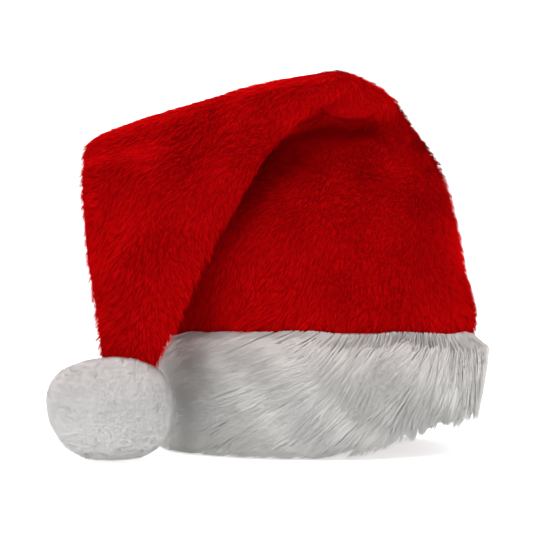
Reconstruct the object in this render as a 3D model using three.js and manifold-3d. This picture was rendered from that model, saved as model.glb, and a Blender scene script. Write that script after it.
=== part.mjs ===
// A plush Santa hat standing on its cuff, with its tip folded over and its pompom on the floor.
// Three pieces: the hollow red crown, the white fur cuff round its hem, and the pompom on its tip.
// Millimetres, +X to the right, +Y to the back, +Z up. Table lengths are shares of the named sizes.

import * as THREE from "three";
import { mergeVertices } from "three/addons/utils/BufferGeometryUtils.js";
import Module from "manifold-3d";

const wasm = await Module();
wasm.setup();

// Head opening and cloth
const openingLength = 194; // inside, left to right
const openingWidth = 164; // inside, front to back
const plushWall = 3; // the red cloth
const clearance = 0.4; // between neighbouring pieces

// Cuff
const cuffHeight = 76; // floor to seam, at the middle of the hat
const cuffRake = 3; // how much higher the seam is at the front, and lower at the back
const cuffWall = 3; // cloth that carries the fur
const rimLift = 32; // how far the rim rises from the floor at the right
const furDepth = 11.5; // how far the fur stands out from its cloth
const lockLength = 44;
const lockWidth = 34;
const locksAround = 16;

// Crown, from the seam up to the crease of the fold
const hemDepth = 18; // tucked down inside the cuff
const crownRise = 122.5; // seam to crease, at the crease's middle
const foldWidth = 206; // length of the crease
const foldLeft = 55; // the crease's middle, left of the opening's
const foldForward = 22; // the crease's middle, in front of the opening's
const foldTilt = 14.5; // degrees, right end up
const foldTurn = 12; // degrees, right end forward
const foldDepth = 60; // thickness of the crown just under the fold
const foldGap = 9; // clear space in the crease between crown and tip
const tipThickness = 30; // of the flattened tip that hangs down

// Pompom, standing on the floor at the front left
const pompomWidth = 79;
const pompomDepth = 76;
const pompomHeight = 67;
const pompomLeft = 133; // its middle, left of the opening's
const pompomForward = 92; // its middle, in front of the opening's
const pompomSink = 3; // how much it flattens on the floor
const tipBite = 15; // how deep the tip reaches into the pompom
const tuftCount = 36;
const tuftDepth = 9; // how far a tuft stands out of the pompom's core

const pointsAround = 30; // facets round the crown
const stepsPerSection = 1.3; // rings of facets for each row of the section tables
const mix = THREE.MathUtils.lerp;
const radians = THREE.MathUtils.degToRad;

// How full an oval's ends are: 2 is an ellipse, more is closer to a rectangle.
const roundOval = { left: 2, right: 2 };
const foldOval = { left: 4.2, right: 2.5 };

// The crown between seam and crease. rise: share of crownRise. toFold: share of the way from the
// opening's oval to the flat section at the crease. wide, deep: swelling of that in-between oval.
const bodySections = [
  { rise: -0.03, toFold: 0, wide: 1, deep: 1 },
  { rise: 0.07, toFold: 0, wide: 1.06, deep: 1.05 },
  { rise: 0.24, toFold: 0.05, wide: 1.01, deep: 1.045 },
  { rise: 0.43, toFold: 0.15, wide: 1.015, deep: 1.066 },
  { rise: 0.62, toFold: 0.33, wide: 1.035, deep: 1.085 },
  { rise: 0.8, toFold: 0.58, wide: 1.045, deep: 1.05 },
  { rise: 0.92, toFold: 0.82, wide: 1.035, deep: 0.98 },
];

// The crown turning over the crease. pitch: degrees turned forward. slide: along the crease, share of
// foldWidth. wide: share of foldWidth. thin: share of the way from foldDepth to tipThickness.
const foldSections = [
  { pitch: 0, slide: 0.013, wide: 1.026, thin: 0 },
  { pitch: 25, slide: 0, wide: 1, thin: 0.3 },
  { pitch: 50, slide: -0.023, wide: 0.955, thin: 0.62 },
  { pitch: 75, slide: -0.038, wide: 0.925, thin: 0.76 },
  { pitch: 100, slide: -0.034, wide: 0.926, thin: 0.84 },
  { pitch: 125, slide: -0.038, wide: 0.915, thin: 0.92 },
  { pitch: 150, slide: -0.121, wide: 0.742, thin: 1 },
];

// The tip hanging down. left, forward, down: shares of the way from the end of the fold to the tip's
// end in the pompom. wide: share of foldWidth. thick: share of tipThickness. full: how full the left
// end is. Angles in degrees.
const tipSections = [
  { left: 0.27, forward: 0.23, down: 0.085, wide: 0.612, thick: 1, full: 3.2, pitch: 152, tilt: 5.6, turn: 12 },
  { left: 0.424, forward: 0.4, down: 0.195, wide: 0.56, thick: 1, full: 2.9, pitch: 160, tilt: 3, turn: 16 },
  { left: 0.572, forward: 0.46, down: 0.32, wide: 0.495, thick: 1, full: 2.6, pitch: 168, tilt: 0, turn: 22 },
  { left: 0.744, forward: 0.54, down: 0.475, wide: 0.415, thick: 1, full: 2.4, pitch: 169, tilt: -3, turn: 26 },
  { left: 0.82, forward: 0.65, down: 0.63, wide: 0.345, thick: 0.97, full: 2.2, pitch: 167, tilt: -6, turn: 28 },
  { left: 0.903, forward: 0.77, down: 0.78, wide: 0.255, thick: 0.9, full: 2, pitch: 164, tilt: -12, turn: 28 },
  { left: 0.98, forward: 0.92, down: 0.905, wide: 0.195, thick: 0.8, full: 2, pitch: 161, tilt: -18, turn: 28 },
  { left: 1, forward: 1, down: 1, wide: 0.15, thick: 0.7, full: 2, pitch: 160, tilt: -20, turn: 28 },
];

// A section of the crown: an oval of half-sizes wide and deep about a middle, in a turned plane.
const section = (middle, wide, deep, full, pitch, tilt, turn) => ({
  x: middle.x,
  y: middle.y,
  z: middle.z,
  wide,
  deep,
  fullLeft: full.left,
  fullRight: full.right,
  pitch: radians(pitch),
  tilt: radians(tilt),
  turn: radians(turn),
});

// The plane's own axes: across the section, through it, and along the crown.
function sectionAxes({ pitch, tilt, turn }) {
  const turned = new THREE.Matrix4().makeRotationFromEuler(new THREE.Euler(pitch, -tilt, -turn, "ZYX"));
  const across = new THREE.Vector3();
  const through = new THREE.Vector3();
  const along = new THREE.Vector3();
  turned.extractBasis(across, through, along);
  return { across, through, along };
}

const hemWide = openingLength / 2 + plushWall;
const hemDeep = openingWidth / 2 + plushWall;
const rakePerMm = cuffRake / (openingWidth / 2);
const rakePitch = -THREE.MathUtils.radToDeg(Math.atan(rakePerMm));
const creaseMiddle = new THREE.Vector3(-foldLeft, -foldForward, cuffHeight + crownRise);

function crownSections() {
  const rows = [];
  const hemMiddle = new THREE.Vector3(0, 0, cuffHeight - hemDepth);
  rows.push(section(hemMiddle, hemWide, hemDeep, roundOval, rakePitch, 0, 0));

  const foldRows = foldSections.map(({ pitch, slide, wide, thin }) => {
    const deep = mix(foldDepth, tipThickness, thin) / 2;
    const { across, through } = sectionAxes(section(creaseMiddle, 0, 0, foldOval, pitch, foldTilt, foldTurn));
    const middle = creaseMiddle
      .clone()
      .addScaledVector(across, slide * foldWidth)
      .addScaledVector(through, foldGap / 2 + deep);
    return section(middle, (wide * foldWidth) / 2, deep, foldOval, pitch, foldTilt, foldTurn);
  });

  const foldStart = foldRows[0];
  for (const { rise, toFold, wide, deep } of bodySections) {
    const middle = new THREE.Vector3(
      foldStart.x * toFold,
      foldStart.y * toFold,
      mix(cuffHeight, cuffHeight + crownRise, rise),
    );
    const halfWide = mix(hemWide, foldWidth / 2, toFold) * wide;
    const halfDeep = mix(hemDeep, foldDepth / 2, toFold) * deep;
    const pitch = rakePitch * (1 - Math.max(rise, 0));
    const tilt = foldTilt * Math.max(rise, 0);
    const full = {
      left: mix(roundOval.left, foldOval.left, toFold ** 2),
      right: mix(roundOval.right, foldOval.right, toFold ** 2),
    };
    rows.push(section(middle, halfWide, halfDeep, full, pitch, tilt, foldTurn * toFold));
  }
  rows.push(...foldRows);

  const foldEnd = foldRows.at(-1);
  const tipEnd = new THREE.Vector3(
    -pompomLeft + pompomWidth * 0.11,
    -pompomForward + pompomDepth * 0.06,
    pompomHeight - pompomSink - tipBite,
  );
  for (const row of tipSections) {
    const middle = new THREE.Vector3(
      mix(foldEnd.x, tipEnd.x, row.left),
      mix(foldEnd.y, tipEnd.y, row.forward),
      mix(foldEnd.z, tipEnd.z, row.down),
    );
    const halfWide = (row.wide * foldWidth) / 2;
    const halfThick = (row.thick * tipThickness) / 2;
    const full = { left: row.full, right: roundOval.right };
    rows.push(section(middle, halfWide, halfThick, full, row.pitch, row.tilt, row.turn));
  }
  return rows;
}

// Rings between the rows, on a smooth curve through every column.
function smoothSections(rows) {
  const count = Math.round((rows.length - 1) * stepsPerSection);
  const blend = (a, b, c, d, t) =>
    0.5 * (2 * b + (c - a) * t + (2 * a - 5 * b + 4 * c - d) * t ** 2 + (3 * b - a - 3 * c + d) * t ** 3);
  return Array.from({ length: count + 1 }, (_, i) => {
    const place = (i / count) * (rows.length - 1);
    const low = Math.min(Math.floor(place), rows.length - 2);
    const near = [low - 1, low, low + 1, low + 2].map((n) => rows[THREE.MathUtils.clamp(n, 0, rows.length - 1)]);
    return Object.fromEntries(
      Object.keys(rows[0]).map((key) => [key, blend(...near.map((row) => row[key]), place - low)]),
    );
  });
}

const fuller = (wave, full) => Math.sign(wave) * Math.abs(wave) ** (2 / full);

// The points of one ring, the oval grown by grow all round.
function ringPoints(row, grow) {
  const { across, through } = sectionAxes(row);
  return Array.from({ length: pointsAround }, (_, i) => {
    const angle = (i / pointsAround) * 2 * Math.PI;
    const full = Math.cos(angle) < 0 ? row.fullLeft : row.fullRight;
    return new THREE.Vector3(row.x, row.y, row.z)
      .addScaledVector(across, (row.wide + grow) * fuller(Math.cos(angle), full))
      .addScaledVector(through, (row.deep + grow) * fuller(Math.sin(angle), full));
  });
}

// Triangles of a tube of rings, each with the same number of points.
function sew(rings, closeStart, closeEnd) {
  const triangles = [];
  for (let r = 0; r + 1 < rings.length; r++) {
    const [a, b] = [rings[r], rings[r + 1]];
    a.forEach((p, i) => {
      const j = (i + 1) % a.length;
      triangles.push([p, a[j], b[j]], [p, b[j], b[i]]);
    });
  }
  const fan = (ring, tip, flip) =>
    ring.forEach((p, i) => {
      const q = ring[(i + 1) % ring.length];
      triangles.push(flip ? [q, p, tip] : [p, q, tip]);
    });
  if (closeStart) fan(rings[0], closeStart, true);
  if (closeEnd) fan(rings.at(-1), closeEnd, false);
  return triangles;
}

function geometryOf(triangles) {
  const positions = new Float32Array(triangles.flatMap((t) => t.flatMap((p) => [p.x, p.y, p.z])));
  return new THREE.BufferGeometry().setAttribute("position", new THREE.BufferAttribute(positions, 3));
}

// A closed mesh as a solid that can be joined and cut, and back.
function solidOf(geometry) {
  const bare = geometry.index ? geometry.toNonIndexed() : geometry.clone();
  bare.deleteAttribute("normal");
  bare.deleteAttribute("uv");
  const merged = mergeVertices(bare, 1e-3);
  return new wasm.Manifold(
    new wasm.Mesh({
      numProp: 3,
      vertProperties: merged.attributes.position.array,
      triVerts: new Uint32Array(merged.index.array),
    }),
  );
}

function geometryOfSolid(solid) {
  const { vertProperties, triVerts } = solid.getMesh();
  const indexed = new THREE.BufferGeometry()
    .setAttribute("position", new THREE.BufferAttribute(vertProperties, 3))
    .setIndex(new THREE.BufferAttribute(triVerts, 1));
  const faceted = indexed.toNonIndexed();
  faceted.computeVertexNormals();
  return faceted;
}

// Rounded end of the tip beyond its last ring.
const capSteps = [
  { size: 0.78, out: 0.55 },
  { size: 0.42, out: 0.88 },
];

function cappedRings(rows, grow) {
  const end = rows.at(-1);
  const { along } = sectionAxes(end);
  const reach = end.deep + grow;
  const capRows = capSteps.map(({ size, out }) => ({
    ...end,
    x: end.x + along.x * reach * out,
    y: end.y + along.y * reach * out,
    z: end.z + along.z * reach * out,
    wide: (end.wide + grow) * size - grow,
    deep: (end.deep + grow) * size - grow,
  }));
  const rings = [...rows, ...capRows].map((row) => ringPoints(row, grow));
  const pole = new THREE.Vector3(end.x, end.y, end.z).addScaledVector(along, reach);
  return { rings, pole };
}

// The red crown: one wall of plush from the hem, over the fold, to the closed tip.
function crownSolid(rows) {
  const outside = cappedRings(rows, 0);
  const inside = cappedRings(rows, -plushWall);
  const hem = [...inside.rings].reverse();
  const triangles = sew([...hem, ...outside.rings], inside.pole, outside.pole);
  return solidOf(geometryOf(triangles));
}

// The crown and the clearance round it, filled: what its neighbours leave free.
function spaceOfCrown(rows) {
  const { rings, pole } = cappedRings(rows, clearance);
  return solidOf(geometryOf(sew(rings, new THREE.Vector3(rows[0].x, rows[0].y, rows[0].z), pole)));
}

// The cuff's oval, out from its inner face, and its two edges.
const cuffPoint = (angle, out, z) =>
  new THREE.Vector3(
    (hemWide + clearance + out) * Math.cos(angle),
    (hemDeep + clearance + out) * Math.sin(angle),
    z,
  );
const seamHeight = (angle) => cuffHeight - rakePerMm * hemDeep * Math.sin(angle);
const liftMiddle = radians(-12);
const liftReach = radians(84);
function rimHeight(angle) {
  const away = Math.atan2(Math.sin(angle - liftMiddle), Math.cos(angle - liftMiddle)) / liftReach;
  return Math.abs(away) < 1 ? rimLift * (0.5 + 0.5 * Math.cos(away * Math.PI)) : 0;
}

function cuffBand() {
  const facets = 1.5 * pointsAround;
  const profile = [
    { out: 0, up: 0 },
    { out: cuffWall, up: 0 },
    { out: cuffWall, up: 1 },
    { out: 0, up: 1 },
  ];
  const rings = [...profile, profile[0]].map(({ out, up }) =>
    Array.from({ length: facets }, (_, i) => {
      const angle = (i / facets) * 2 * Math.PI;
      return cuffPoint(angle, out, mix(rimHeight(angle), seamHeight(angle), up));
    }),
  );
  return solidOf(geometryOf(sew(rings)));
}

// The way the fur lies: degrees from straight down, towards the left of the front view.
const furMean = 38;
const furSwing = 37;
const furTurn = 150;
const furAngle = (angle) => radians(furMean + furSwing * Math.cos(angle + radians(furTurn)));

// Rows of locks. up: root height, share of the cuff's height. long: share of lockLength.
// stand: how far out the lock's middle stands, share of furDepth.
const lockRows = [
  { up: 0.24, long: 0.8, stand: 0.42 },
  { up: 0.49, long: 0.95, stand: 0.68 },
  { up: 0.74, long: 1, stand: 0.9 },
  { up: 0.97, long: 0.95, stand: 1 },
];

// One lock from root to tip. at: share of its length. half: half width, share of lockWidth.
// thick: half thickness, and out: height of its middle, both shares of how far it stands out.
const lockShape = [
  { at: 0.04, half: 0.28, thick: 0.26, out: 0.3 },
  { at: 0.36, half: 0.5, thick: 0.42, out: 0.5 },
  { at: 0.74, half: 0.34, thick: 0.3, out: 0.76 },
];
const lockSides = 4;
const lockOverhang = 5; // how far a lock may hang below the rim

const uneven = (n) => {
  const wave = Math.sin(n * 12.9898) * 43758.5453;
  return wave - Math.floor(wave);
};

function furLock(angle, height, wish, stand) {
  const flow = furAngle(angle);
  const long = Math.min(wish, (height - rimHeight(angle) + lockOverhang) / Math.cos(flow));
  const speed = Math.hypot(hemWide * Math.sin(angle), hemDeep * Math.cos(angle));
  const place = (at, out) =>
    cuffPoint(angle - (at * long * Math.sin(flow)) / speed, out, height - at * long * Math.cos(flow));
  const rings = lockShape.map(({ at, half, thick, out }) => {
    const middle = place(at, cuffWall * 0.7 + stand * out);
    const outward = place(at, cuffWall + furDepth).sub(place(at, 0)).normalize();
    const along = place(at + 0.05, 0).sub(place(at, 0)).normalize();
    const across = new THREE.Vector3().crossVectors(outward, along).normalize();
    return Array.from({ length: lockSides }, (_, i) => {
      const round = (i / lockSides) * 2 * Math.PI;
      return middle
        .clone()
        .addScaledVector(across, half * lockWidth * Math.cos(round))
        .addScaledVector(outward, thick * stand * Math.sin(round));
    });
  });
  return solidOf(geometryOf(sew(rings, place(0, cuffWall * 0.6), place(1, cuffWall + stand * 0.66))));
}

// A large block that cuts away all beyond a plane.
function beyond(middle, pitch) {
  const size = 4 * (openingLength + openingWidth);
  const block = new THREE.BoxGeometry(size, size, size);
  block.translate(0, 0, size / 2);
  block.rotateX(pitch);
  block.translate(middle.x, middle.y, middle.z);
  return solidOf(block);
}
const underFloor = beyond(new THREE.Vector3(0, 0, 0), Math.PI);
const overSeam = beyond(new THREE.Vector3(0, 0, cuffHeight), radians(rakePitch));

// The outer skin alone, so that pockets closed in between locks are filled.
function largestBody(solid) {
  return solid.decompose().reduce((a, b) => (a.volume() > b.volume() ? a : b));
}

function cuffSolid(crownSpace) {
  const locks = [];
  lockRows.forEach(({ up, long, stand }, row) => {
    for (let i = 0; i < locksAround; i++) {
      const seed = row * locksAround + i;
      const step = i + (row % 2) / 2 + 0.3 * (uneven(seed) - 0.5);
      const angle = (step / locksAround) * 2 * Math.PI;
      const height = mix(rimHeight(angle), seamHeight(angle), up + 0.05 * (uneven(seed + 0.5) - 0.5));
      const size = 0.85 + 0.3 * uneven(seed + 0.25);
      locks.push(furLock(angle, height, lockLength * long * size, furDepth * stand * size));
    }
  });
  const fur = wasm.Manifold.union([cuffBand(), ...locks]);
  return largestBody(fur.subtract(underFloor).subtract(overSeam).subtract(crownSpace));
}

// The pompom: a core with tufts standing out all round, spread on a spiral.
function pompomSolid(crownSpace) {
  const middle = new THREE.Vector3(-pompomLeft, -pompomForward, pompomHeight / 2 - pompomSink);
  const halves = new THREE.Vector3(pompomWidth, pompomDepth, pompomHeight).multiplyScalar(0.5);
  const core = new THREE.SphereGeometry(1, 16, 10);
  core.scale(halves.x - tuftDepth, halves.y - tuftDepth, halves.z - tuftDepth);
  core.translate(middle.x, middle.y, middle.z);

  const tuftSpread = 1.25 * Math.sqrt((4 * Math.PI) / tuftCount / Math.PI);
  const tufts = Array.from({ length: tuftCount }, (_, i) => {
    const up = 1 - (2 * (i + 0.5)) / tuftCount;
    const round = i * Math.PI * (3 - Math.sqrt(5));
    const level = Math.sqrt(1 - up * up);
    const way = new THREE.Vector3(level * Math.cos(round), level * Math.sin(round), up);
    const side = new THREE.Vector3(0, 0, 1).cross(way).normalize();
    const other = way.clone().cross(side);
    const reach = 1 - 0.35 * uneven(i + 7) * (tuftDepth / halves.z);
    const at = (share, spread, turn) =>
      way
        .clone()
        .multiplyScalar(share)
        .addScaledVector(side, spread * Math.cos(turn))
        .addScaledVector(other, spread * Math.sin(turn))
        .multiply(halves)
        .add(middle);
    const ring = (share, spread) =>
      Array.from({ length: 6 }, (_, k) => at(share, spread, (k / 6) * 2 * Math.PI));
    const rings = [
      ring(0.6, tuftSpread * 0.75),
      ring(0.84 * reach, tuftSpread),
      ring(0.96 * reach, tuftSpread * 0.6),
    ];
    return solidOf(geometryOf(sew(rings, at(0.5, 0, 0), at(reach, 0, 0))));
  });
  const ball = wasm.Manifold.union([solidOf(core), ...tufts]);
  return largestBody(ball.subtract(underFloor).subtract(crownSpace));
}

function named(name, solid, color, roughness) {
  const material = new THREE.MeshStandardMaterial({ color, roughness, metalness: 0 });
  const mesh = new THREE.Mesh(geometryOfSolid(solid), material);
  mesh.name = name;
  return mesh;
}

const rows = smoothSections(crownSections());
const crownSpace = spaceOfCrown(rows);
const hat = new THREE.Group();
hat.add(named("crown", crownSolid(rows), 0xb00006, 0.95));
hat.add(named("cuff", cuffSolid(crownSpace), 0xd8d4d0, 0.95));
hat.add(named("pompom", pompomSolid(crownSpace), 0xdcd8d6, 0.95));

// The origin is on the floor, under the middle of the whole hat.
const bounds = new THREE.Box3().setFromObject(hat);
const middle = bounds.getCenter(new THREE.Vector3());
hat.position.set(-middle.x, -middle.y, -bounds.min.z);

export default hat;
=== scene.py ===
"""A plush Santa hat on a white studio floor: red pile crown, white fur cuff and fleecy pompom."""

import math
from functools import cache

import bmesh
import bpy
import numpy as np
from mathutils import Euler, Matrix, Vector, kdtree


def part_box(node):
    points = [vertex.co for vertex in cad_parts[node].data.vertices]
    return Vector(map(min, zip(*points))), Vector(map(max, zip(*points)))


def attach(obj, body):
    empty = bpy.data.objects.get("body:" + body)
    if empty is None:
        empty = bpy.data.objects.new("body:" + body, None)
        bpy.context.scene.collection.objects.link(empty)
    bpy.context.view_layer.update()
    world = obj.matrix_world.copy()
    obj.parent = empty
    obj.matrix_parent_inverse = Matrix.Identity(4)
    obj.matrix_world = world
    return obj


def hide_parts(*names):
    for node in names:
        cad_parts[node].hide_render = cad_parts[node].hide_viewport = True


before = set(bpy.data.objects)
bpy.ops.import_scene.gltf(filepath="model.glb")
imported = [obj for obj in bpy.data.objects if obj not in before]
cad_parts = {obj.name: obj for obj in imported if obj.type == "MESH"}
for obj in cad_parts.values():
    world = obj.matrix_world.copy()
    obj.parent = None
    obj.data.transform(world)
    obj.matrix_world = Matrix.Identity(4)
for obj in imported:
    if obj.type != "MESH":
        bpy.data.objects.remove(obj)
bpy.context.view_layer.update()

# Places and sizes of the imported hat, in metres
CROWN_BOX = np.array(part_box("crown"))
CUFF_BOX = np.array(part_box("cuff"))
POMPOM_BOX = np.array(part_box("pompom"))
OPENING = (CUFF_BOX[0] + CUFF_BOX[1]) / 2
FUR_DEPTH = 0.0115
BAND_LENGTH, BAND_WIDTH = (CUFF_BOX[1] - CUFF_BOX[0])[:2] / 2 - FUR_DEPTH
SEAM = 0.076  # height of the cuff's upper edge, at the middle of the hat
SEAM_RAKE = 0.003  # higher by this at the front, and lower at the back
RIM_LIFT = 0.032  # how far the cuff's lower edge rises at the right
LIFT_MIDDLE, LIFT_REACH = math.radians(-12), math.radians(84)
FLOOR_GAP = 0.0008  # between the floor and the lowest hairs


# Small helpers


def unit(vectors):
    return vectors / np.maximum(np.linalg.norm(vectors, axis=-1, keepdims=True), 1e-9)


def mix(a, b, share):
    return a + (b - a) * share


def smooth(value, low, high):
    """0 below low, 1 above high, and an even step between."""
    share = np.clip((value - low) / (high - low), 0, 1)
    return share * share * (3 - 2 * share)


WAVE_COUNT = 7
WAVE_PEAK = 2.6  # the usual height of that many waves together


def waves(points, size, seed):
    """Smooth unevenness from about -1 to 1, with lumps of about this size."""
    rng = np.random.default_rng(seed)
    total = np.zeros(len(points))
    for way in unit(rng.normal(size=(WAVE_COUNT, 3))):
        length = size * rng.uniform(1.4, 2.6)
        total += np.sin(points @ way * (2 * math.pi / length) + rng.uniform(0, 2 * math.pi))
    return total / WAVE_PEAK


def turned(vectors, axes, angles):
    """The vectors turned about unit axes at right angles to them."""
    return vectors * np.cos(angles)[:, None] + np.cross(axes, vectors) * np.sin(angles)[:, None]


def mesh_object(name, vertices, faces, material):
    mesh = bpy.data.meshes.new(name)
    mesh.from_pydata(vertices, [], faces)
    mesh.materials.append(material)
    mesh.shade_smooth()
    piece = bpy.data.objects.new(name, mesh)
    bpy.context.collection.objects.link(piece)
    return piece


def place(piece, node):
    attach(piece, "root")
    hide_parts(node)


# Hairs


FLATNESS = 0.4  # thickness of a hair over its width
CORNERS = (math.pi / 2, math.pi * 7 / 6, math.pi * 11 / 6)  # of its section


def hair_mesh(name, paths, outward, widths, tones, softness, material, beyond_painted_shade=1.0):
    """One mesh of closed, three-sided, pointed hairs, one along each path.

    softness: how far a hair is shaded like the surface that it grows on.
    beyond_painted_shade: share of a hair that takes its full colour; the rest keeps the dark root
    colour, painted shade of the pile's depth.
    """
    count, points = paths.shape[:2]
    rings = points - 1
    tangents = unit(np.gradient(paths, axis=1))
    side = unit(np.cross(tangents, outward[:, None]))
    rise = np.cross(side, tangents)
    half = widths[:, None, None] / 2
    corners, facing = [], []
    for turn in CORNERS:
        spoke = math.cos(turn) * side + FLATNESS * math.sin(turn) * rise
        corners.append(paths[:, :rings] + half * spoke[:, :rings])
        facing.append(unit(mix(unit(spoke), outward[:, None], softness))[:, :rings])
    around = np.stack(corners, axis=2).reshape(count, rings * 3, 3)
    vertices = np.concatenate([around, paths[:, rings:]], axis=1)
    normals = np.stack(facing, axis=2).reshape(count, rings * 3, 3)
    normals = np.concatenate([normals, outward[:, None]], axis=1).reshape(-1, 3)

    one = [(0, 1, 2)]
    for ring in range(rings):
        for corner in range(3):
            here = ring * 3 + corner
            following = ring * 3 + (corner + 1) % 3
            if ring + 1 < rings:
                one += [(here, here + 3, following), (following, here + 3, following + 3)]
            else:
                one.append((here, rings * 3, following))
    per_hair = rings * 3 + 1
    faces = (np.array(one)[None] + np.arange(count)[:, None, None] * per_hair).reshape(-1, 3)

    mesh = bpy.data.meshes.new(name)
    mesh.vertices.add(count * per_hair)
    mesh.vertices.foreach_set("co", vertices.ravel())
    mesh.loops.add(faces.size)
    mesh.loops.foreach_set("vertex_index", faces.ravel().astype(np.int32))
    mesh.polygons.add(len(faces))
    mesh.polygons.foreach_set("loop_start", np.arange(len(faces), dtype=np.int32) * 3)
    mesh.update(calc_edges=True)
    mesh.shade_smooth()
    mesh.normals_split_custom_set_from_vertices(normals.tolist())
    mesh.materials.append(material)

    along = np.append(np.repeat(np.arange(rings) / rings, 3), 1.0)
    along = (along * np.broadcast_to(beyond_painted_shade, count)[:, None]).ravel()
    for label, values in (("along", along), ("tone", np.repeat(tones, per_hair))):
        mesh.attributes.new(label, "FLOAT", "POINT").data.foreach_set("value", values)
    piece = bpy.data.objects.new(name, mesh)
    bpy.context.collection.objects.link(piece)
    return piece


def gather(paths, guides, pull):
    """Bends each path towards its nearest guide, more towards the tip, so that hairs end in locks."""
    tree = kdtree.KDTree(len(guides))
    for i, guide in enumerate(guides):
        tree.insert(Vector(guide[0]), i)
    tree.balance()
    nearest = np.array([tree.find(Vector(path[0]))[1] for path in paths])
    share = (np.linspace(0, 1, paths.shape[1]) ** 1.2)[None, :, None] * pull[:, None, None]
    return mix(paths, guides[nearest], share), nearest


# The crown


def across_band(x, y):
    """Under 1 inside the cuff's band, and more outside."""
    return np.hypot((x - OPENING[0]) / BAND_LENGTH, (y - OPENING[1]) / BAND_WIDTH)


def outer_skin(mesh):
    """The corner points and normals of the crown's outer wall, without its lining and hem."""
    skin = bmesh.new()
    skin.from_mesh(mesh)
    bmesh.ops.triangulate(skin, faces=skin.faces)
    skin.normal_update()
    skin.faces.ensure_lookup_table()

    def tucked_in(face):
        x, y, z = face.calc_center_median()
        return z < SEAM - 0.004 and across_band(x, y) < 1.02

    start = max(skin.faces, key=lambda face: face.calc_center_median().z)
    seen, waiting = {start}, [start]
    while waiting:
        for edge in waiting.pop().edges:
            for face in edge.link_faces:
                if face not in seen and not tucked_in(face):
                    seen.add(face)
                    waiting.append(face)
    wall = [face for face in skin.faces if face in seen]  # in the same order each run
    corners = np.array([[v.co for v in face.verts] for face in wall])
    normals = np.array([[v.normal for v in face.verts] for face in wall])
    skin.free()
    return corners, normals


def scatter(corners, normals, count, rng):
    """Points spread evenly over triangles, and their normals."""
    sides = corners[:, 1:] - corners[:, :1]
    area = np.linalg.norm(np.cross(sides[:, 0], sides[:, 1]), axis=1)
    chosen = rng.choice(len(corners), size=count, p=area / area.sum())
    shares = rng.dirichlet((1, 1, 1), size=count)[:, :, None]
    return (corners[chosen] * shares).sum(axis=1), unit((normals[chosen] * shares).sum(axis=1))


# The open end of the fold, at the upper right. Beside the flap a lobe of cloth hangs over a tuck.
# Places are from the middle of the opening, in metres.
FOLD_END = np.array([(-0.035, -0.056, 0.206), (0.05, -0.012, 0.242)])
# Height, and how far the flap's end is drawn in there, to the left
FLAP_PULL = [
    (0.2125, 0),
    (0.2165, 0.006),
    (0.2204, 0.012),
    (0.2243, 0.016),
    (0.2321, 0.015),
    (0.236, 0.009),
    (0.24, 0),
]
# Place across the hat, and height of the lobe's lower edge
TUCK = [(-0.0123, 0.2188), (0.0035, 0.2201), (0.018, 0.2141), (0.03, 0.2141), (0.045, 0.216)]
LOBE_FORWARD = 0.010
LOBE_DROP = 0.006
LOBE_EDGE = 0.003  # height over which the lobe stands out
TUCK_DEPTH = 0.008


def make_finer(mesh, low, high):
    """Cuts the faces between two corners of a box into nine."""
    fine = bmesh.new()
    fine.from_mesh(mesh)
    inside = {v for v in fine.verts if all(low < np.array(v.co)) and all(np.array(v.co) < high)}
    edges = [edge for edge in fine.edges if all(v in inside for v in edge.verts)]
    bmesh.ops.subdivide_edges(fine, edges=edges, cuts=2, use_grid_fill=True)
    fine.to_mesh(mesh)
    fine.free()


def shape_fold_end(points):
    """Moves the cloth one axis at a time, so that it can't pass through itself.

    First the flap's end goes left, then the tuck goes in and the lobe comes out and hangs down.
    """
    x, y, z = points.T
    x = x - OPENING[0]
    y = y - OPENING[1]
    end_of_flap = smooth(-y, 0.031, 0.040) * (1 - smooth(-y, 0.0455, 0.0505))
    x = x - np.interp(z, *zip(*FLAP_PULL)) * smooth(x, -0.065, -0.012) * end_of_flap

    edge = np.interp(x, *zip(*TUCK))
    under_edge = np.interp(z - edge, (-0.014, -0.002, 0.004, 0.012), (0, 1, 1, 0))
    front_wall = smooth(-y, -0.002, 0.018) * (1 - smooth(-y, 0.031, 0.036))
    across = smooth(x, -0.03, -0.01) * (1 - smooth(x, 0.03, 0.045))
    y = y + TUCK_DEPTH * under_edge * front_wall * across

    lowest = edge + LOBE_EDGE
    full = lowest + np.interp(x, (0.026, 0.056), (LOBE_EDGE, 0.022))
    lobe = smooth(z, lowest, full) * smooth(x, -0.006, 0.014)
    front_wall = smooth(-y, -0.005, 0.02) * np.interp(-y, (0.03, 0.046), (1, 0))
    y = y - LOBE_FORWARD * lobe * front_wall

    near_edge = np.interp(z - edge, (-0.006, 0.004, 0.02), (0, 1, 0))
    face_of_lobe = smooth(-y, 0.0295, 0.035) * (1 - smooth(-y, 0.0425, 0.047))
    along = smooth(x, -0.004, 0.008) * (1 - smooth(x, 0.028, 0.044))
    z = z - LOBE_DROP * near_edge * face_of_lobe * along
    return np.stack([x + OPENING[0], y + OPENING[1], z], axis=1)


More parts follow.
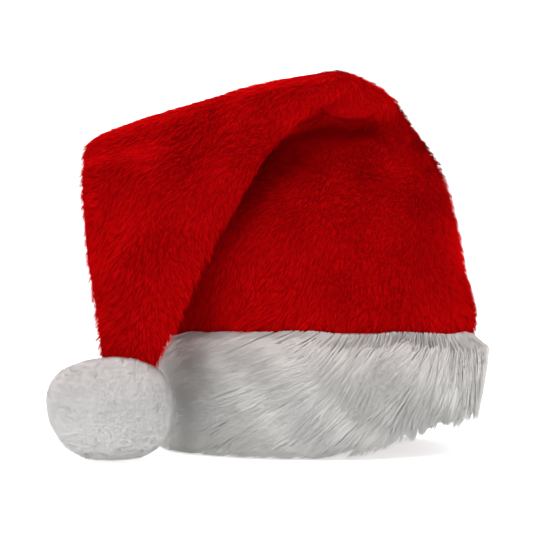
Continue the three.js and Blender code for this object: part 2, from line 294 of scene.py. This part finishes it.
def crown_cloth():
    """The crown's cloth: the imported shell, made fine and smooth, with the lobe at the fold's end."""
    source = bpy.data.objects["crown"]
    shell = bmesh.new()
    shell.from_mesh(source.data)
    bmesh.ops.remove_doubles(shell, verts=shell.verts, dist=1e-6)
    bmesh.ops.join_triangles(
        shell, faces=shell.faces, angle_face_threshold=0.9, angle_shape_threshold=1.2
    )
    mesh = bpy.data.meshes.new("crown_cloth")
    shell.to_mesh(mesh)
    shell.free()
    mesh.materials.clear()
    mesh.materials.append(knit_material())
    piece = bpy.data.objects.new("crown_cloth", mesh)
    bpy.context.collection.objects.link(piece)
    fine = piece.modifiers.new("fine", "SUBSURF")
    fine.levels = fine.render_levels = 2
    graph = bpy.context.evaluated_depsgraph_get()
    cloth = bpy.data.meshes.new_from_object(piece.evaluated_get(graph))
    piece.modifiers.clear()
    piece.data = cloth
    cloth.name = "crown_cloth"
    make_finer(cloth, *(FOLD_END + (*OPENING[:2], 0)))
    points = np.array([vertex.co for vertex in cloth.vertices])
    cloth.vertices.foreach_set("co", shape_fold_end(points).ravel())
    cloth.update()
    cloth.shade_smooth()
    return piece


PILE_LENGTH = 0.0078
PILE_PER_PIECE = 46000
PILE_GUIDES = 5000
PILE_ROOT_DEPTH = 0.0006  # of the roots under the cloth's face
# The crease under the fold: its middle from the opening's, and its way to the right and up
CREASE_MIDDLE = np.array((-0.055, -0.022, 0.1985))
CREASE_WAY = np.array((0.947, -0.201, 0.25))


def from_crease(points):
    """Distance from the crease."""
    middle = CREASE_MIDDLE + (OPENING[0], OPENING[1], 0)
    return np.linalg.norm(np.cross(points - middle, CREASE_WAY), axis=1)


def from_tuck(points):
    """Distance from the lobe's lower edge and the hollow beside it, or over 1 in front and behind."""
    x, y, z = (points - (*OPENING[:2], 0)).T
    above = z - np.interp(x, *zip(*TUCK))
    above = np.where(above > 0, above * np.interp(x, (0.0, 0.018), (0.2, 1)), above)
    beside = np.maximum(np.maximum(TUCK[0][0] - x, x - TUCK[-2][0]), 0)
    return np.hypot(above, beside) + np.where((y < -0.015) & (y > -0.044), 0, 1)


def pile_paths(points, normals, rng):
    """Straight hairs that lie downwards in swirls and end at the seam."""
    fall = unit(np.array((-0.25, -0.3, -1.0)) + 0 * points)
    lie = unit(fall - normals * (fall * normals).sum(axis=1, keepdims=True))
    swirl = 0.4 * waves(points, 0.05, 41) + 0.22 * waves(points, 0.014, 42)
    lie = turned(lie, normals, swirl + rng.normal(0, 0.18, len(points)))
    lift = 0.5 + 0.13 * waves(points, 0.02, 13) + rng.normal(0, 0.1, len(points))
    hidden = np.maximum(smooth(normals[:, 1], 0.0, 0.5), smooth(normals[:, 2], 0.55, 0.9))
    lift = np.clip(lift * (1 - 0.6 * hidden), 0.12, 0.9)
    way = lie * np.cos(lift)[:, None] + normals * np.sin(lift)[:, None]
    length = PILE_LENGTH * rng.uniform(0.75, 1.15, len(points)) * (1 + 0.1 * waves(points, 0.03, 14))
    length *= np.interp(from_crease(points), (0.005, 0.018), (0.35, 1))
    length *= np.interp(from_tuck(points), (0.003, 0.012), (0.4, 1))
    over_seam = points[:, 2] - SEAM + 0.002
    by_seam = (across_band(points[:, 0], points[:, 1]) < 1.1) & (over_seam < PILE_LENGTH)
    short = np.maximum(over_seam, 0.001) / np.maximum(-way[:, 2], 0.3)
    length = np.where(by_seam, np.minimum(length, short), length)
    start = points - normals * PILE_ROOT_DEPTH
    return np.stack([start, start + way * length[:, None]], axis=1)


def crown_pile(cloth):
    corners, normals = outer_skin(cloth.data)
    rng = np.random.default_rng(5)
    guide_points, guide_normals = scatter(corners, normals, PILE_GUIDES, rng)
    guides = pile_paths(guide_points, guide_normals, rng)
    guide_tones = rng.uniform(0, 1, len(guides))
    pieces = []
    for part in ("a", "b"):
        points, outward = scatter(corners, normals, PILE_PER_PIECE, rng)
        paths = pile_paths(points, outward, rng)
        paths, nearest = gather(paths, guides, rng.uniform(0.15, 0.5, len(paths)))
        tones = mix(rng.uniform(0, 1, len(paths)), guide_tones[nearest], 0.45)
        widths = rng.uniform(0.0005, 0.0008, len(paths))
        # Hairs in and near the tuck keep the dark root colour all along: painted shade in the tuck
        beyond_painted_shade = np.interp(from_tuck(points), (0.002, 0.009), (0.0, 1))
        name = f"crown_pile_{part}"
        pieces.append(hair_mesh(name, paths, outward, widths, tones, 0.62, pile_material(), beyond_painted_shade))
    return pieces


# The cuff


def rim_height(angle):
    away = np.arctan2(np.sin(angle - LIFT_MIDDLE), np.cos(angle - LIFT_MIDDLE)) / LIFT_REACH
    return np.where(np.abs(away) < 1, RIM_LIFT * (0.5 + 0.5 * np.cos(away * math.pi)), 0.0)


def seam_height(angle):
    return SEAM - SEAM_RAKE * np.sin(angle)


def on_band(angle, out, height):
    """A point over the cuff's band, out from its outer face."""
    return np.stack(
        [
            OPENING[0] + (BAND_LENGTH + out) * np.cos(angle),
            OPENING[1] + (BAND_WIDTH + out) * np.sin(angle),
            height + 0 * angle,
        ],
        axis=-1,
    )


BAND_SHORTER = 0.005  # than the fur, at the lower edge
SEAM_GAP = 0.0008  # between the band and the seam
# The band's section: metres out from its face, and share of its height
BAND_PROFILE = [
    (-0.003, 0.004),
    (-0.003, 0.5),
    (-0.003, 0.99),
    (-0.0015, 1.0),
    (0.0, 0.985),
    (0.001, 0.85),
    (0.0016, 0.6),
    (0.0014, 0.35),
    (0.0008, 0.12),
    (0.0, 0.01),
    (-0.0015, 0.0),
]


def cuff_cloth():
    """The band that carries the fur: a wall with a slightly padded outer face."""
    around = 144
    angles = np.arange(around) / around * 2 * math.pi
    low = rim_height(angles) + BAND_SHORTER
    high = seam_height(angles) - SEAM_GAP
    rings = [on_band(angles, out, mix(low, high, up)) for out, up in BAND_PROFILE]
    vertices = np.concatenate(rings)
    faces = []
    for ring in range(len(rings)):
        above = (ring + 1) % len(rings)
        for i in range(around):
            j = (i + 1) % around
            here, there = ring * around, above * around
            faces.append((here + j, here + i, there + i, there + j))
    return mesh_object("cuff_cloth", vertices.tolist(), faces, backing_material())


FUR_LENGTH = 0.039
FUR_PER_PIECE = 18000
FUR_LOCKS = 800
FUR_SHORTEST = 0.008
FUR_ROOT_OUT = 0.0015  # from the band's face
# How far the fur hangs below the cuff's lower edge: degrees round the hat, from its right, and metres
FUR_OVERHANG = [
    (-180, 0.006),
    (-62, 0.005),
    (-46, 0.001),
    (-40, 0.003),
    (-35, 0.016),
    (-26, 0.019),
    (-14, 0.012),
    (0, 0.003),
    (40, 0.004),
    (180, 0.006),
]


def fur_paths(angles, ups, rng):
    """Hairs rooted on the band that sweep down and round to the left of the front view."""
    rim, seam = rim_height(angles), seam_height(angles)
    height = mix(rim, seam, ups)
    root = on_band(angles, FUR_ROOT_OUT, height)
    height += 0.0012 * ups * waves(root, 0.02, 24)
    flow = np.radians(36 + 36 * np.cos(angles + np.radians(150)))
    flow += 0.28 * waves(root, 0.035, 21) + 0.16 * waves(root, 0.014, 22)
    flow = np.minimum(flow + rng.normal(0, 0.08, len(angles)), 1.4 - 0.25 * ups)
    wish = FUR_LENGTH * rng.uniform(0.7, 1.15, len(angles))
    degrees = np.degrees(np.arctan2(np.sin(angles), np.cos(angles)))
    overhang = np.interp(degrees, *zip(*FUR_OVERHANG)) * rng.uniform(0.3, 1.1, len(angles))
    room = (height - rim + overhang) / np.maximum(np.cos(flow), 0.2)
    length = np.minimum(wish, np.maximum(room, FUR_SHORTEST))
    fullness = np.interp(ups, (0, 0.15, 0.5, 0.8, 1), (0.4, 0.55, 0.85, 1.0, 1.05))
    rise = FUR_DEPTH * fullness * np.clip(rng.normal(0.97, 0.06, len(angles)), 0.4, 1.2)
    rise *= 1 + 0.12 * waves(root, 0.018, 23)
    right = np.clip(np.cos(angles), 0, 1) ** 4
    rise *= 1 + right * np.interp(ups, (0, 0.5, 1), (-0.2, 0.0, 0.4))
    speed = np.hypot(BAND_LENGTH * np.sin(angles), BAND_WIDTH * np.cos(angles))
    path = []
    for share in (0, 0.3, 1):
        turn = angles - share * length * np.sin(flow) / speed
        fallen = height - share * length * np.cos(flow)
        stand = rise * (1 - (1 - share) ** 3.2) * (1 - (0.2 + 0.4 * right) * share**2)
        point = on_band(turn, stand, fallen)
        point[:, 2] = np.maximum(point[:, 2], FLOOR_GAP)
        path.append(point)
    return np.stack(path, axis=1)


def cuff_fur():
    rng = np.random.default_rng(7)
    guide_angles = rng.uniform(0, 2 * math.pi, FUR_LOCKS)
    guide_ups = rng.uniform(0.02, 1, FUR_LOCKS)
    guides = fur_paths(guide_angles, guide_ups, rng)
    guide_tones = rng.uniform(0, 1, FUR_LOCKS)
    pieces = []
    for part in ("a", "b"):
        angles = rng.uniform(0, 2 * math.pi, FUR_PER_PIECE)
        ups = 1 - 0.95 * rng.uniform(0, 1, FUR_PER_PIECE) ** 1.35
        paths = fur_paths(angles, ups, rng)
        pull = rng.uniform(0.1, 0.45, len(paths)) + np.interp(ups, (0.1, 0.4), (0.35, 0))
        paths, nearest = gather(paths, guides, pull)
        outward = unit(paths[:, 1] - on_band(angles, -0.03, paths[:, 1, 2]))
        tones = mix(rng.uniform(0, 1, len(paths)), guide_tones[nearest], 0.4)
        widths = rng.uniform(0.00045, 0.0008, len(paths))
        name = f"cuff_fur_{part}"
        pieces.append(hair_mesh(name, paths, outward, widths, tones, 0.98, fur_material()))
    return pieces


# The pompom


FLEECE_LENGTH = 0.009
FLEECE_COUNT = 38000
FLEECE_REACH = 0.0012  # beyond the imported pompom
FLEECE_LEAN = 1.2
CORE_INSET = 0.007
POMPOM_LOW_LEFT = np.array((-0.75, -0.1, -0.65))  # the way in which it is less full
POMPOM_SQUARE = 2.4  # 2 is a round pompom, more has fuller corners


def pompom_core():
    middle = (POMPOM_BOX[0] + POMPOM_BOX[1]) / 2
    halves = (POMPOM_BOX[1] - POMPOM_BOX[0]) / 2 - CORE_INSET
    ball = bmesh.new()
    bmesh.ops.create_icosphere(ball, subdivisions=4, radius=1)
    for vertex in ball.verts:
        vertex.co = Vector(middle + np.array(vertex.co) * halves)
    mesh = bpy.data.meshes.new("pompom_core")
    ball.to_mesh(mesh)
    ball.free()
    mesh.materials.append(fleece_material())
    mesh.shade_smooth()
    piece = bpy.data.objects.new("pompom_core", mesh)
    bpy.context.collection.objects.link(piece)
    return piece


def pompom_fleece():
    rng = np.random.default_rng(9)
    middle = (POMPOM_BOX[0] + POMPOM_BOX[1]) / 2
    halves = (POMPOM_BOX[1] - POMPOM_BOX[0]) / 2

    def paths_from(ways):
        full = (np.abs(ways) ** POMPOM_SQUARE).sum(axis=1, keepdims=True) ** (-1 / POMPOM_SQUARE)
        low_left = np.maximum(ways @ POMPOM_LOW_LEFT, 0)[:, None]
        tip = middle + ways * full * (halves + FLEECE_REACH) * (1 - 0.08 * low_left**3)
        lean = rng.normal(size=ways.shape)
        lean = unit(lean - ways * (lean * ways).sum(axis=1, keepdims=True))
        lumps = 0.0008 * waves(tip, 0.02, 31) + 0.0003 * waves(tip, 0.008, 32)
        tip += ways * (lumps + rng.normal(-0.0003, 0.00015, len(ways)))[:, None]
        length = FLEECE_LENGTH * rng.uniform(0.7, 1.0, len(ways))[:, None] / 1.5
        root = tip - (ways + FLEECE_LEAN * lean) * length
        path = np.stack([root, tip], axis=1)
        path[:, :, 2] = np.maximum(path[:, :, 2], FLOOR_GAP)
        return path

    ways = unit(rng.normal(size=(FLEECE_COUNT, 3)))
    tones = rng.uniform(0, 1, len(ways))
    widths = rng.uniform(0.0006, 0.0009, len(ways))
    paths = paths_from(ways)
    return hair_mesh("pompom_fleece", paths, ways, widths, tones, 0.96, fleece_material())


# Materials


def ramp(nodes, stops):
    node = nodes.new("ShaderNodeValToRGB")
    while len(node.color_ramp.elements) < len(stops):
        node.color_ramp.elements.new(0.5)
    for element, (position, colour) in zip(node.color_ramp.elements, stops):
        element.position = position
        element.color = (*colour, 1)
    return node


def cloth_shader(name, roughness, specular):
    material = bpy.data.materials.new(name)
    material.use_nodes = True
    shader = material.node_tree.nodes["Principled BSDF"]
    shader.inputs["Roughness"].default_value = roughness
    shader.inputs["Specular IOR Level"].default_value = specular
    return material, material.node_tree.nodes, material.node_tree.links, shader


def times(nodes, links, first, second):
    """The product of two colours."""
    node = nodes.new("ShaderNodeMix")
    node.data_type = "RGBA"
    node.blend_type = "MULTIPLY"
    node.inputs["Factor"].default_value = 1
    links.new(first, node.inputs["A"])
    links.new(second, node.inputs["B"])
    return node.outputs["Result"]


def hair_colour(nodes, links, shader, root, dull, bright, large, painted_red_bounce=None):
    """Darker at the root, painted shade of the pile's depth, with each hair a little different, and
    slow changes over the surface.

    large: size and two tints of the slow changes. painted_red_bounce: the heights between which pink
    comes in, painted reflection of red light from the crown.
    """
    along = nodes.new("ShaderNodeAttribute")
    along.attribute_name = "along"
    tone = nodes.new("ShaderNodeAttribute")
    tone.attribute_name = "tone"
    shade = ramp(nodes, [(0, dull), (1, bright)])
    links.new(tone.outputs["Fac"], shade.inputs["Fac"])
    # The root colour, painted shade of the pile's depth, gives way to the hair's own colour along its
    # first part
    painted_root_shade = nodes.new("ShaderNodeMix")
    painted_root_shade.data_type = "RGBA"
    painted_root_shade.inputs["A"].default_value = (*root, 1)
    links.new(shade.outputs["Color"], painted_root_shade.inputs["B"])
    rise = ramp(nodes, [(0, (0, 0, 0)), (0.4, (1, 1, 1))])
    links.new(along.outputs["Fac"], rise.inputs["Fac"])
    links.new(rise.outputs["Color"], painted_root_shade.inputs["Factor"])
    size, low, high = large
    place_node = nodes.new("ShaderNodeTexCoord")
    cloud = nodes.new("ShaderNodeTexNoise")
    cloud.inputs["Scale"].default_value = 1 / size
    links.new(place_node.outputs["Object"], cloud.inputs["Vector"])
    tint = ramp(nodes, [(0.35, low), (0.65, high)])
    links.new(cloud.outputs["Fac"], tint.inputs["Fac"])
    result = times(nodes, links, painted_root_shade.outputs["Result"], tint.outputs["Color"])
    # Pink towards the red crown: painted reflection of its red light
    if painted_red_bounce:
        axes = nodes.new("ShaderNodeSeparateXYZ")
        links.new(place_node.outputs["Object"], axes.inputs["Vector"])
        height = nodes.new("ShaderNodeMapRange")
        height.inputs["From Min"].default_value, height.inputs["From Max"].default_value = painted_red_bounce
        links.new(axes.outputs["Z"], height.inputs["Value"])
        pink = ramp(nodes, [(0, (1, 1, 1)), (1, (1, 0.92, 0.92))])
        links.new(height.outputs["Result"], pink.inputs["Fac"])
        result = times(nodes, links, result, pink.outputs["Color"])
    links.new(result, shader.inputs["Base Color"])


def knitted(name, specular, loop_rate, low, high, loop_height):
    """A knit that shows no pile: fine loops, in colour and in bump."""
    material, nodes, links, shader = cloth_shader(name, 0.95, specular)
    place_node = nodes.new("ShaderNodeTexCoord")
    loops = nodes.new("ShaderNodeTexNoise")
    loops.inputs["Scale"].default_value = loop_rate
    links.new(place_node.outputs["Object"], loops.inputs["Vector"])
    colour = ramp(nodes, [(0.3, low), (0.7, high)])
    links.new(loops.outputs["Fac"], colour.inputs["Fac"])
    links.new(colour.outputs["Color"], shader.inputs["Base Color"])
    bump = nodes.new("ShaderNodeBump")
    bump.inputs["Strength"].default_value = 0.6
    bump.inputs["Distance"].default_value = loop_height
    links.new(loops.outputs["Fac"], bump.inputs["Height"])
    links.new(bump.outputs["Normal"], shader.inputs["Normal"])
    return material


# Each material is made once, the first time that it is asked for


@cache
def pile_material():
    material, nodes, links, shader = cloth_shader("red_pile", 0.9, 0.0)
    hair_colour(
        nodes, links, shader,
        # Near black at the root: painted shade deep in the pile
        root=(0.08, 0.0002, 0.0005),
        dull=(0.47, 0.0012, 0.0016),
        bright=(0.59, 0.0022, 0.0027),
        large=(0.05, (0.88, 0.88, 0.88), (1, 1, 1)),
    )
    return material


@cache
def knit_material():
    """The plain red knit under the pile, seen inside the hat; its dark red is partly painted shade for
    the tuck.
    """
    return knitted("red_knit", 0.0, 700, (0.21, 0.0004, 0.001), (0.31, 0.0008, 0.002), 0.0004)


@cache
def fur_material():
    material, nodes, links, shader = cloth_shader("white_fur", 0.8, 0.05)
    hair_colour(
        nodes, links, shader,
        root=(0.55, 0.545, 0.53),
        dull=(0.545, 0.54, 0.525),
        bright=(0.565, 0.56, 0.545),
        large=(0.03, (0.95, 0.95, 0.94), (1, 1, 1)),
        # Pink towards the seam: painted reflection of the crown's red light
        painted_red_bounce=(0.04, 0.078),
    )
    return material


@cache
def backing_material():
    """The white knit that carries the fur."""
    return knitted("white_backing", 0.05, 600, (0.50, 0.49, 0.48), (0.58, 0.57, 0.56), 0.0005)


@cache
def fleece_material():
    material, nodes, links, shader = cloth_shader("white_fleece", 0.9, 0.05)
    hair_colour(
        nodes, links, shader,
        root=(0.69, 0.68, 0.67),
        dull=(0.70, 0.69, 0.68),
        bright=(0.715, 0.705, 0.695),
        large=(0.02, (0.96, 0.96, 0.96), (1, 1, 1)),
        # Pink towards the top, under the crown's tip: painted reflection of its red light
        painted_red_bounce=(0.03, 0.066),
    )
    return material


# Studio


def studio_floor():
    """A pale floor that curves up into the backdrop."""
    wide, front, back, bend, tall = 6.0, -2.5, 1.6, 0.8, 3.0
    profile = [(front, 0.0)]
    for step in range(17):
        turn = step / 16 * math.pi / 2
        profile.append((back + bend * math.sin(turn), bend * (1 - math.cos(turn))))
    profile.append((back + bend, tall))
    vertices = [(x, y, z) for y, z in profile for x in (-wide, wide)]
    faces = [(2 * i, 2 * i + 1, 2 * i + 3, 2 * i + 2) for i in range(len(profile) - 1)]
    material, nodes, links, shader = cloth_shader("studio_white", 0.9, 0.0)
    shader.inputs["Base Color"].default_value = (0.93, 0.93, 0.93, 1)
    shader.inputs["Emission Color"].default_value = (1, 1, 1, 1)
    shader.inputs["Emission Strength"].default_value = 0.65
    floor = mesh_object("studio_floor", vertices, faces, material)


LIGHT_AIM = (0, 0, 0.12)  # the middle of the hat


def area_light(name, place_at, aim, size, power):
    data = bpy.data.lights.new(name, "AREA")
    data.shape = "RECTANGLE"
    data.size, data.size_y = size
    data.energy = power
    lamp = bpy.data.objects.new(name, data)
    lamp.location = place_at
    lamp.rotation_euler = (Vector(aim) - Vector(place_at)).to_track_quat("-Z", "Y").to_euler()
    bpy.context.collection.objects.link(lamp)


def light_studio():
    world = bpy.data.worlds.new("studio")
    world.use_nodes = True
    world.node_tree.nodes["Background"].inputs["Color"].default_value = (1, 1, 1, 1)
    world.node_tree.nodes["Background"].inputs["Strength"].default_value = 0.45
    bpy.context.scene.world = world
    area_light("key", (-1.0, -0.85, 1.75), LIGHT_AIM, (1.5, 1.5), 23)
    area_light("fill", (1.6, 0.15, 1.1), LIGHT_AIM, (1.2, 1.2), 10.5)
    area_light("top", (0.1, 0.2, 1.7), LIGHT_AIM, (1.2, 1.2), 15)
    area_light("backdrop", (0, 0.9, 2.6), (0, 1.6, 0), (3.0, 1.5), 60)


def camera():
    """Nearly level with the cuff, a metre away, so that the frame is as wide as in the photo."""
    distance, height, aim, across = 1.0, 0.095, 0.122, -0.0364
    wide = 0.3624  # of the picture, at the hat's middle
    pitch = math.atan2(aim - height, distance)
    data = bpy.data.cameras.new("camera")
    data.sensor_width = 36
    data.lens = 36 * math.hypot(distance, aim - height) / wide
    eye = bpy.data.objects.new("camera", data)
    eye.location = (OPENING[0] + across, OPENING[1] - distance, height)
    eye.rotation_euler = Euler((math.pi / 2 + pitch, 0, 0))
    bpy.context.collection.objects.link(eye)
    bpy.context.scene.camera = eye


def build_hat():
    cloth = crown_cloth()
    place(cloth, "crown")
    for pile in crown_pile(cloth):
        place(pile, "crown")
    place(cuff_cloth(), "cuff")
    for fur in cuff_fur():
        place(fur, "cuff")
    place(pompom_core(), "pompom")
    place(pompom_fleece(), "pompom")


camera()
build_hat()
studio_floor()
light_studio()
scene = bpy.context.scene
scene.view_settings.view_transform = "Standard"
scene.view_settings.look = "None"
